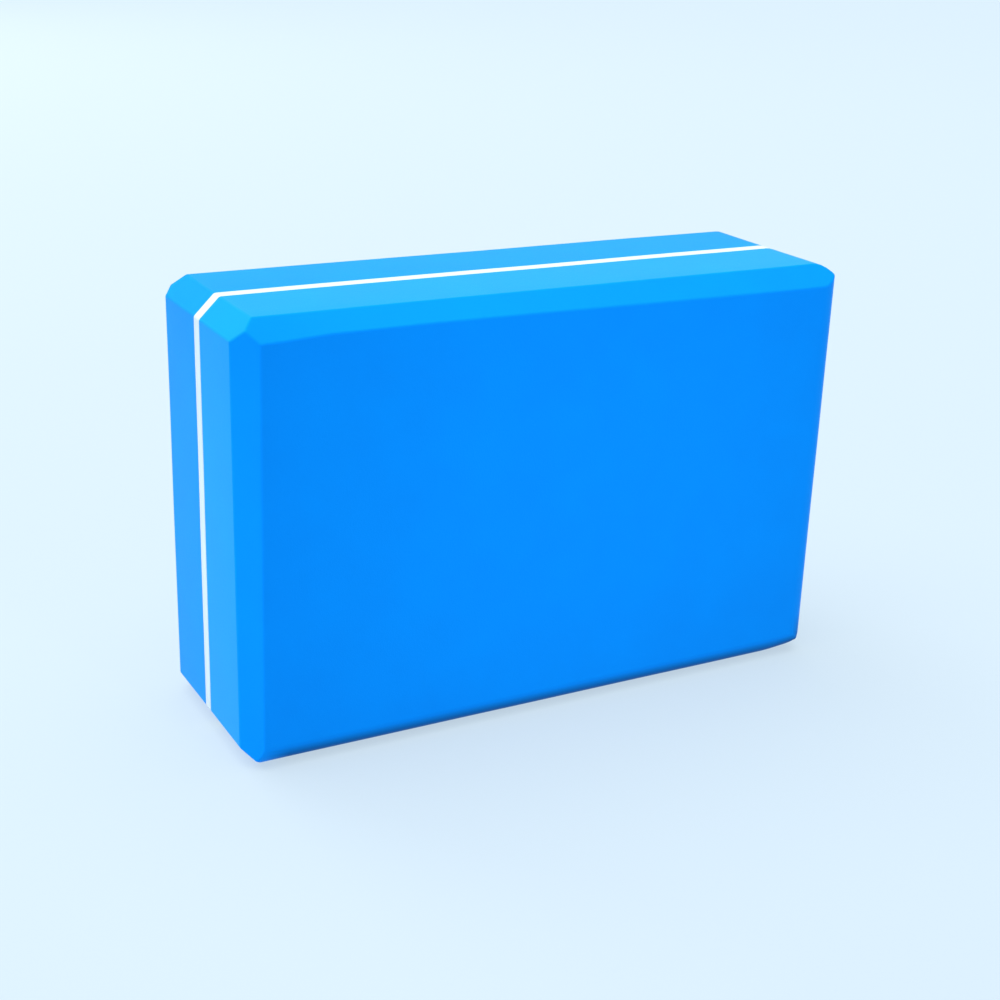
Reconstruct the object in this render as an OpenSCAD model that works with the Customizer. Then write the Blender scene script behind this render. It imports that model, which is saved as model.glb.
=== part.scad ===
// Laminated foam block: two thick foam slabs bonded to a thin contrasting sheet, with all
// twelve outer edges ground to 45 degree chamfers after bonding.
// It stands on one of its long narrow sides. X runs along its length, Y through its
// thickness from the front broad face to the rear one, and Z up, with the origin at the
// centre of the side that it stands on.

/* [Block] */
// Length of the block, along X
body_l = 230; // [150:1:320]
// Height of the block as it stands, along Z
body_h = 152; // [100:1:220]

/* [Layers] */
// Thickness of each of the two slabs, along Y
slab_t = 35; // [18:0.5:60]
// Thickness of the sheet bonded between them
sheet_t = 5; // [2:0.5:12]

/* [Edges] */
// How far in a chamfer starts on each of the two faces that it joins
chamfer = 7; // [3:0.5:14]
// Radius that softens both lines of each chamfer
edge_r = 0.8; // [0.2:0.1:1.5]

/* [Colours] */
// Colour of the two slabs
slab_colour = "#1496ff"; // ["#1496ff", "#2aa36b", "#7a4bb5", "#3c3f45"]
// Colour of the sheet
sheet_colour = "#f4f6f7"; // ["#f4f6f7", "#d9dde0", "#20242a"]

/* [Hidden] */

// Thickness of the whole bonded block
body_t = 2 * slab_t + sheet_t;
// The two glue planes, either side of mid-thickness
glue_y = sheet_t / 2;

// Turn of the outline where a chamfer meets a face
bend = 45;
// Flats that make up the rounding of one such bend
bend_flats = 3;
// Distance in from a face's end, along that face, of the centre that its bend is rounded on
bend_inset = chamfer + edge_r * tan(bend / 2);

// How far a layer's cutting box runs past the block, so that only its glue planes cut
past = 10;

// The centre of the bend of a w by h outline that faces the direction "facing". A bend that
// faces mostly along X lies on an upright side, and any other lies on a level side.
function bend_centre(w, h, facing) =
    let (upright = abs(cos(facing)) > abs(sin(facing)))
    [
        sign(cos(facing)) * (w / 2 - (upright ? edge_r : bend_inset)),
        sign(sin(facing)) * (h / 2 - (upright ? bend_inset : edge_r))
    ];

// A w by h outline with 45 degree chamfers, whose eight bends are rounded to edge_r
module ground_outline(w, h) {
    polygon([
        for (start = [0 : bend : 360 - bend], i = [0 : bend_flats])
            let (turned = start + bend * i / bend_flats)
            bend_centre(w, h, start + bend / 2) + edge_r * [cos(turned), sin(turned)]
    ]);
}

// The bonded block after grinding: the space that three chamfered prisms share, one along
// each axis. Flat grinding leaves three chamfers that meet in a point at each corner.
module ground_block() {
    translate([0, 0, body_h / 2])
        intersection() {
            rotate([90, 0, 90])
                linear_extrude(body_l, center = true)
                    ground_outline(body_t, body_h);
            rotate([90, 0, 0])
                linear_extrude(body_t, center = true)
                    ground_outline(body_l, body_h);
            linear_extrude(body_h, center = true)
                ground_outline(body_l, body_t);
        }
}

// The part of the ground block between two planes across its thickness
module layer(y_from, y_to) {
    intersection() {
        ground_block();
        translate([-body_l / 2 - past, y_from, -past])
            cube([body_l + 2 * past, y_to - y_from, body_h + 2 * past]);
    }
}

module front_slab() {
    color(slab_colour)
        layer(-body_t / 2 - past, -glue_y);
}

module middle_sheet() {
    color(sheet_colour)
        layer(-glue_y, glue_y);
}

module rear_slab() {
    color(slab_colour)
        layer(glue_y, body_t / 2 + past);
}

front_slab();
middle_sheet();
rear_slab();
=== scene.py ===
# A laminated foam block: two blue EVA foam slabs with a thin white EVA sheet bonded between
# them. The bonded block was then ground by hand on a belt, which left a 45 degree chamfer
# along its edges, or a soft round where it was held longer.
import math

import bmesh
import bpy
from mathutils import Matrix, Vector, noise


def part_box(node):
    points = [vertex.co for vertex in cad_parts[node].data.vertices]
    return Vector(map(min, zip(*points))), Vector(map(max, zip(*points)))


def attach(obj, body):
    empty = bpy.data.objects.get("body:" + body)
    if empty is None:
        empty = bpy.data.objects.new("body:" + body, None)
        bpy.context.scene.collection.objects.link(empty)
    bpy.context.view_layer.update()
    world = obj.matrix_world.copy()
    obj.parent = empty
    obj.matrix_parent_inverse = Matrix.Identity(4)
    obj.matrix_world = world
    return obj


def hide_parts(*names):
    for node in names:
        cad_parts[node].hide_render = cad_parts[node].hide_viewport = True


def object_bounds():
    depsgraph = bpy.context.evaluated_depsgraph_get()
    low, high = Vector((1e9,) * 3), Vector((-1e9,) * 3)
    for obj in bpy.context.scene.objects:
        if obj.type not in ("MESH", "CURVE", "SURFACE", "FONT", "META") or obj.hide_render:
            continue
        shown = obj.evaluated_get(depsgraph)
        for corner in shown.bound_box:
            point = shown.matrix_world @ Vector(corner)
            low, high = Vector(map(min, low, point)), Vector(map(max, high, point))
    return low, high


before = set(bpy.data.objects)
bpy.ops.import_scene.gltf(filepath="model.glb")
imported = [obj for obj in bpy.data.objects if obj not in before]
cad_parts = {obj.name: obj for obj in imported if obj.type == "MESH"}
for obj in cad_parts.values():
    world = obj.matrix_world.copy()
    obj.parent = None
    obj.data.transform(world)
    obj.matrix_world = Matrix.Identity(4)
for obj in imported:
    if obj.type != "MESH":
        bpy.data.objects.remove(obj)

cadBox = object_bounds()
blockLow, blockHigh = cadBox
blockMiddle = (blockLow + blockHigh) / 2
blockHalf = (blockHigh - blockLow) / 2
print("frame loaded:", ", ".join(sorted(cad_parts)))


def linearColour(hexText):
    # an sRGB hex value as linear red, green, blue and alpha
    channels = [int(hexText[i:i + 2], 16) / 255 for i in (1, 3, 5)]
    return [c / 12.92 if c <= 0.04045 else ((c + 0.055) / 1.055) ** 2.4 for c in channels] + [1]


def smoothStep(start, end, value):
    # 0 at the start and 1 at the end, eased between them; the end may be the lower one
    share = min(1, max(0, (value - start) / (end - start)))
    return share * share * (3 - 2 * share)


# The grinding was done on the bonded block, so all three layers share it. An edge is named by
# the two sides that meet there. Lengths are in metres.
grinding = {
    "chamfer": 0.007,               # how far in a chamfer starts on the faces beside it
    "uneven": {                     # chamfers that run from one depth to another, low end first
        "left front": (0.0063, 0.0074),
        "left rear": (0.0070, 0.0057),
    },
    "rounded": {                    # edges that were rolled over the belt, and their radius
        "right front": 0.0096,
        "right rear": 0.0096,
        "right top": 0.0100,
        "right under": 0.0135,
        "front under": 0.0088,
        "rear under": 0.0088,
    },
    "roundFlats": 8,                # narrow flats that make up each round
    "lineReach": 0.0006,            # how far the belt's softening reaches from a line
    "lineFlats": 3,
    "glueReach": 0.00012,           # the hairline at each glue line
    "gridStep": 0.004,              # spacing of the mesh on the faces
    "waver": 0.00015,               # how far the surface wavers
    "waverLength": 0.05,
    "waverSeed": 7,
    "bowRise": 0.0013,              # where the top front chamfer was ground shallow
    "bowReach": 0.02,
    "bowStarts": (0.02, 0.15),      # shares of the length, from the left, over which it rises
    "bowEnds": (0.25, 0.95),        # and over which it dies away
    "wornRise": 0.0014,             # the lower front right corner, worn upwards
    "wornReach": 0.02,
    "paintedShade": (0.003, 0.008),    # heights where the painted shade is full and where it ends
    "paintedShadeFull": 0.75,            # share of a round's radius up to which the painted shade is full
}
sides = {
    (0, -1): "left",
    (0, 1): "right",
    (1, -1): "front",
    (1, 1): "rear",
    (2, -1): "under",
    (2, 1): "top",
}
lineAngle = math.radians(20)    # two faces that meet at more than this make a line
squareOn = 0.99                 # least share of y in the normal of a face along a glue plane
mergeReach = 0.00001            # vertices nearer than this become one


def groundFlats():
    # a point and an outward normal for each flat that was ground along the twelve edges
    for along, first, second in ((2, 0, 1), (1, 0, 2), (0, 1, 2)):
        for firstSide in (-1, 1):
            for secondSide in (-1, 1):
                corner = Vector((0, 0, 0))
                corner[first] = firstSide
                corner[second] = secondSide
                name = sides[first, firstSide] + " " + sides[second, secondSide]
                if name in grinding["rounded"]:
                    radius = grinding["rounded"][name]
                    for i in range(grinding["roundFlats"]):
                        angle = math.radians(90) * (i + 0.5) / grinding["roundFlats"]
                        outward = Vector((0, 0, 0))
                        outward[first] = firstSide * math.cos(angle)
                        outward[second] = secondSide * math.sin(angle)
                        yield blockMiddle + corner * blockHalf + (outward - corner) * radius, outward
                else:
                    # its middle lies half its mean depth in from both sides, and it is turned
                    # along the edge where the depth changes
                    even = (grinding["chamfer"], grinding["chamfer"])
                    start, end = grinding["uneven"].get(name, even)
                    point = blockMiddle + corner * blockHalf - corner * (start + end) / 4
                    corner[along] = (end - start) / (2 * blockHalf[along])
                    yield point, corner.normalized()


def everything(bm):
    return bm.verts[:] + bm.edges[:] + bm.faces[:]


def isGlueFace(face):
    fromMiddle = abs(face.calc_center_median().y - blockMiddle.y)
    return abs(face.normal.y) > squareOn and fromMiddle < blockHalf.y - grinding["chamfer"]


def isGlueLine(edge):
    return edge.calc_face_angle(0) > lineAngle and any(map(isGlueFace, edge.link_faces))


def isOuterLine(edge):
    return edge.calc_face_angle(0) > lineAngle and not any(map(isGlueFace, edge.link_faces))


def groundLayer(node):
    low, high = [Vector(corner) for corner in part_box(node)]
    bm = bmesh.new()
    bmesh.ops.create_cube(bm, size=1)
    bmesh.ops.scale(bm, vec=high - low, verts=bm.verts)
    bmesh.ops.translate(bm, vec=(low + high) / 2, verts=bm.verts)

    for point, outward in groundFlats():
        cut = bmesh.ops.bisect_plane(
            bm, geom=everything(bm), plane_co=point, plane_no=outward, clear_outer=True)
        rim = [part for part in cut["geom_cut"] if isinstance(part, bmesh.types.BMEdge)]
        if rim:
            bmesh.ops.edgeloop_fill(bm, edges=rim)
    bmesh.ops.recalc_face_normals(bm, faces=bm.faces)

    # the belt leaves every line a little soft, and the glue lines as hairlines
    softened = ((isOuterLine, grinding["lineReach"]), (isGlueLine, grinding["glueReach"]))
    for chosenBy, reach in softened:
        lines = [edge for edge in bm.edges if chosenBy(edge)]
        if lines:
            bmesh.ops.bevel(
                bm, geom=lines, offset=reach, offset_type="OFFSET", affect="EDGES",
                segments=grinding["lineFlats"], profile=0.5, material=-1)

    # a grid of cuts for the waver to bend, kept off the ground edges and the layer's own faces
    gridStep = grinding["gridStep"]
    for axis in range(3):
        across = Vector((0, 0, 0))
        across[axis] = 1
        flat = blockHalf[axis] - max(grinding["rounded"].values()) - gridStep / 2
        count = max(1, round(2 * flat / gridStep))
        for i in range(count + 1):
            line = blockMiddle[axis] + flat * (2 * i / count - 1)
            if low[axis] + gridStep / 4 < line < high[axis] - gridStep / 4:
                bmesh.ops.bisect_plane(
                    bm, geom=everything(bm), plane_co=across * line, plane_no=across)
    bmesh.ops.remove_doubles(bm, verts=bm.verts, dist=mergeReach)
    return bm


def bowOf(place):
    # how far the lower line of the top front chamfer was left high, left of the middle
    below = blockHigh.z - place.z
    if place.y > blockLow.y + grinding["chamfer"]:
        return 0
    along = (place.x - blockLow.x) / (blockHigh.x - blockLow.x)
    started = smoothStep(*grinding["bowStarts"], along)
    ended = smoothStep(*grinding["bowEnds"], along)
    rise = grinding["bowRise"] * started * (1 - ended)
    fade = 1 - smoothStep(grinding["chamfer"], grinding["chamfer"] + grinding["bowReach"], below)
    return rise * fade * min(1, below / grinding["chamfer"])


def wearOf(place):
    # how far the lower front right corner was worn up off the floor
    rise = grinding["wornRise"]
    for distance in (blockHigh.x - place.x, place.y - blockLow.y, place.z - blockLow.z):
        rise *= 1 - smoothStep(0, grinding["wornReach"], distance)
    return rise


def paintedShadeOf(place):
    # painted shade on the rolled lower edges, which face the floor: full low down and fading out
    # higher up, and none on the left end, which was only chamfered
    most = 0
    for (axis, side), name in sides.items():
        radius = grinding["rounded"].get(name + " under")
        if radius:
            inward = blockHalf[axis] - side * (place[axis] - blockMiddle[axis])
            most = max(most, smoothStep(1, grinding["paintedShadeFull"], inward / radius))
    fullHeight, endHeight = grinding["paintedShade"]
    most *= smoothStep(endHeight, fullHeight, place.z - blockLow.z)
    return most * smoothStep(grinding["chamfer"], 2 * grinding["chamfer"], place.x - blockLow.x)


def handGround(bm):
    # the slow waver of a block held to the belt by hand; its underside stays flat, but for the
    # worn corner
    noise.seed_set(grinding["waverSeed"])    # or the waver would differ from run to run
    # each vertex also keeps how much painted shade it gets, for the shader
    paintedShadeMask = bm.verts.layers.float.new("paintedShadeMask")
    for vert in bm.verts:
        vert[paintedShadeMask] = paintedShadeOf(vert.co)
        moved = noise.noise_vector(vert.co / grinding["waverLength"]) * grinding["waver"]
        moved.z *= smoothStep(0, grinding["waverLength"], vert.co.z)
        moved.z += bowOf(vert.co) + wearOf(vert.co)
        vert.co += moved
        for axis in range(3):
            vert.co[axis] = min(blockHigh[axis], max(blockLow[axis], vert.co[axis]))


def newPiece(name, bm, material):
    bmesh.ops.recalc_face_normals(bm, faces=bm.faces)
    mesh = bpy.data.meshes.new(name)
    bm.to_mesh(mesh)
    bm.free()
    mesh.shade_smooth()
    mesh.materials.append(material)
    piece = bpy.data.objects.new(name, mesh)
    bpy.context.scene.collection.objects.link(piece)
    return piece


def addNode(tree, kind, settings=None, links=None):
    # settings holds attributes by name and input values by socket, links what feeds a socket
    node = tree.nodes.new(kind)
    for key, value in (settings or {}).items():
        if isinstance(key, str) and hasattr(node, key):
            setattr(node, key, value)
        else:
            node.inputs[key].default_value = value
    for key, socket in (links or {}).items():
        tree.links.new(socket, node.inputs[key])
    return node


# Cross-linked EVA foam, sliced from a block and belt ground. It is closed-cell and has no skin
# left, so it is matt all over, with cut cells as a fine grain. The blue has a pale bloom where
# it is seen at a low angle.
evaFinish = {
    "ior": 1.48,
    "specular": 0.03,
    "roughness": (0.8, 0.92),
    "cells": 0.0006,         # real cells are about 0.15 mm, drawn coarser to show at all
    "nap": 0.0004,           # a belt's grit leaves about 0.2 mm, drawn coarser too
    "cellRelief": 0.6,       # how deep the cells are beside the nap
    "bumpDepth": 0.00003,
}
colourA, colourB, colourOut = 6, 7, 2    # the sockets of a Mix node that is set to colour


def groundEvaFoam(name, look):
    material = bpy.data.materials.new(name)
    material.use_nodes = True
    tree = material.node_tree
    tree.nodes.clear()
    coords = addNode(tree, "ShaderNodeTexCoord")
    centred = addNode(tree, "ShaderNodeMapping", {"Location": -blockMiddle},
                      {"Vector": coords.outputs["Object"]})
    place = centred.outputs["Vector"]

    mottle = addNode(tree, "ShaderNodeTexNoise",
                     {"Scale": 1 / look["mottleSize"], "Detail": 3, "Roughness": 0.55},
                     {"Vector": place})
    cells = addNode(tree, "ShaderNodeTexVoronoi",
                    {"feature": "F1", "Scale": 1 / evaFinish["cells"]}, {"Vector": place})
    nap = addNode(tree, "ShaderNodeTexNoise",
                  {"Scale": 1 / evaFinish["nap"], "Detail": 2}, {"Vector": place})

    shade = addNode(tree, "ShaderNodeMix", {
        "data_type": "RGBA",
        colourA: linearColour(look["darker"]),
        colourB: linearColour(look["lighter"]),
    }, {"Factor": mottle.outputs["Fac"]})
    # painted shade: the base colour turns darker on the rolled lower edges, near the floor
    paintedShadeMask = addNode(tree, "ShaderNodeAttribute", {"attribute_name": "paintedShadeMask"})
    paintedShadeMix = addNode(tree, "ShaderNodeMix",
                   {"data_type": "RGBA", colourB: linearColour(look["paintedShade"])},
                   {"Factor": paintedShadeMask.outputs["Fac"], colourA: shade.outputs[colourOut]})

    smoothest, roughest = evaFinish["roughness"]
    dull = addNode(tree, "ShaderNodeMapRange", {"To Min": smoothest, "To Max": roughest},
                   {"Value": mottle.outputs["Fac"]})
    relief = addNode(tree, "ShaderNodeMath",
                     {"operation": "MULTIPLY_ADD", 1: evaFinish["cellRelief"]},
                     {0: cells.outputs["Distance"], 2: nap.outputs["Fac"]})
    bump = addNode(tree, "ShaderNodeBump", {"Strength": 1, "Distance": evaFinish["bumpDepth"]},
                   {"Height": relief.outputs["Value"]})

    shader = addNode(tree, "ShaderNodeBsdfPrincipled", {
        "IOR": evaFinish["ior"],
        "Specular IOR Level": evaFinish["specular"],
        "Sheen Weight": look["sheen"],
        "Sheen Roughness": look["sheenRoughness"],
        "Sheen Tint": linearColour(look["sheenTint"]),
    }, {
        "Base Color": paintedShadeMix.outputs[colourOut],
        "Roughness": dull.outputs["Result"],
        "Normal": bump.outputs["Normal"],
    })
    addNode(tree, "ShaderNodeOutputMaterial", None, {"Surface": shader.outputs["BSDF"]})
    return material


def foamPiece(layer):
    bm = groundLayer(layer["node"])
    handGround(bm)
    piece = newPiece(layer["name"], bm, groundEvaFoam(layer["material"], layer))
    # keeps the faces flat and lets only their lines look soft
    shading = piece.modifiers.new("flatFaces", "WEIGHTED_NORMAL")
    shading.mode = "FACE_AREA"
    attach(piece, "root")
    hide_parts(layer["node"])
    print(layer["name"], "ground:", len(piece.data.polygons), "faces")


frontSlab = {
    "name": "frontSlabFoam",
    "node": "front_slab",
    "slot": "slab_foam",
    "material": "blueGroundEvaFoam",
    "darker": "#058cf6",
    "lighter": "#0593fd",
    # painted shade for the rolled lower edges near the floor
    "paintedShade": "#045ca4",
    "mottleSize": 0.02,     # patches of slightly uneven colour
    "sheen": 0.5,           # the pale bloom
    "sheenRoughness": 0.24,
    "sheenTint": "#d8efff",
}
foamPiece(frontSlab)

# cut from another sheet of foam, a touch deeper in colour and with a little less bloom
rearSlab = dict(
    frontSlab, name="rearSlabFoam", node="rear_slab", material="blueGroundEvaFoamRear",
    darker="#0586f2", lighter="#058df9", sheen=0.42)
foamPiece(rearSlab)

middleSheet = {
    "name": "middleSheetFoam",
    "node": "middle_sheet",
    "slot": "sheet_foam",
    "material": "whiteGroundEvaFoam",
    "darker": "#c5d0d6",
    "lighter": "#cdd8de",
    # painted shade for the rolled lower edges near the floor
    "paintedShade": "#a9b4ba",
    "mottleSize": 0.015,
    "sheen": 0,
    "sheenRoughness": 0.3,
    "sheenTint": "#ffffff",
}
foamPiece(middleSheet)

# a pale floor that glows a little, soft light from above and behind, a spot on the left end and
# one on the front, and the camera
studio = {
    "floorRadius": 6.0,
    "floorSides": 96,
    "floorDrop": 0.0001,    # keeps the floor off the block's flat underside
    "floorColour": "#6a7175",
    "floorRoughness": 0.95,
    "floorSpecular": 0.1,
    "floorGlowColour": "#dceffc",
    "floorGlow": 0.7,
    "surroundColour": "#e3f1fb",
    "surroundStrength": 0.4,
}
view = {
    "azimuth": -29.07,
    "elevation": 20.51,
    "roll": 2.015,
    "distance": 0.6081,
    "target": (-0.0030, 0, 0.0669),
    "lens": 60.4,
    "sensor": 36,
}
# spread is the skylight's width in degrees, the box's side or a spot's radius in metres
lamps = {
    "skylight": {"kind": "SUN", "from": (-0.15, 0.1, 1.0), "at": blockMiddle, "energy": 4.25,
                 "spread": 80, "colour": "#f6fbff"},
    "backBox": {"kind": "AREA", "from": (-0.9, 2.6, 1.2), "at": blockMiddle, "energy": 39,
                "spread": 1.6, "colour": "#ffffff"},
    "leftSpot": {"kind": "SPOT", "from": (-1.2, 0.2, 0.08), "at": (-0.115, -0.02, 0.045),
                 "energy": 50, "spread": 0.15, "cone": 13, "colour": "#f2f9ff"},
    "frontSpot": {"kind": "SPOT", "from": (0.3, -1.4, 0.5), "at": (0.01, -0.037, 0.09),
                  "energy": 43, "spread": 0.15, "cone": 12, "colour": "#f2f9ff"},
}

# opal acrylic, sanded matt and lit from behind, so shadows on it stay faint
opalTable = bpy.data.materials.new("backlitOpalAcrylic")
opalTable.use_nodes = True
opalShader = opalTable.node_tree.nodes["Principled BSDF"]
opalShader.inputs["Base Color"].default_value = linearColour(studio["floorColour"])
opalShader.inputs["Roughness"].default_value = studio["floorRoughness"]
opalShader.inputs["Specular IOR Level"].default_value = studio["floorSpecular"]
opalShader.inputs["Emission Color"].default_value = linearColour(studio["floorGlowColour"])
opalShader.inputs["Emission Strength"].default_value = studio["floorGlow"]
bm = bmesh.new()
bmesh.ops.create_circle(
    bm, cap_ends=True, segments=studio["floorSides"], radius=studio["floorRadius"])
bmesh.ops.translate(bm, vec=(0, 0, -studio["floorDrop"]), verts=bm.verts)
newPiece("studioFloor", bm, opalTable)

world = bpy.data.worlds.new("softSurround")
world.use_nodes = True
surround = world.node_tree.nodes["Background"]
surround.inputs["Color"].default_value = linearColour(studio["surroundColour"])
surround.inputs["Strength"].default_value = studio["surroundStrength"]
bpy.context.scene.world = world

for name, lamp in lamps.items():
    light = bpy.data.lights.new(name, lamp["kind"])
    light.color = linearColour(lamp["colour"])[:3]
    light.energy = lamp["energy"]
    if lamp["kind"] == "SUN":
        light.angle = math.radians(lamp["spread"])
    elif lamp["kind"] == "AREA":
        light.size = lamp["spread"]
    else:
        light.shadow_soft_size = lamp["spread"]
        light.spot_size = math.radians(lamp["cone"])
        light.spot_blend = 1
    holder = bpy.data.objects.new(name, light)
    holder.location = lamp["from"]
    holder.rotation_euler = (holder.location - Vector(lamp["at"])).to_track_quat("Z", "Y").to_euler()
    bpy.context.scene.collection.objects.link(holder)

azimuth = math.radians(view["azimuth"])
elevation = math.radians(view["elevation"])
back = Vector((math.sin(azimuth) * math.cos(elevation),
               -math.cos(azimuth) * math.cos(elevation),
               math.sin(elevation)))
cameraData = bpy.data.cameras.new("camera")
cameraData.lens = view["lens"]
cameraData.sensor_width = view["sensor"]
camera = bpy.data.objects.new("camera", cameraData)
roll = Matrix.Rotation(math.radians(view["roll"]), 4, "Z")
turn = back.to_track_quat("Z", "Y").to_matrix().to_4x4() @ roll
camera.matrix_world = Matrix.Translation(Vector(view["target"]) + back * view["distance"]) @ turn
bpy.context.scene.collection.objects.link(camera)
bpy.context.scene.camera = camera
bpy.context.scene.view_settings.view_transform = "Standard"
print("studio set up")
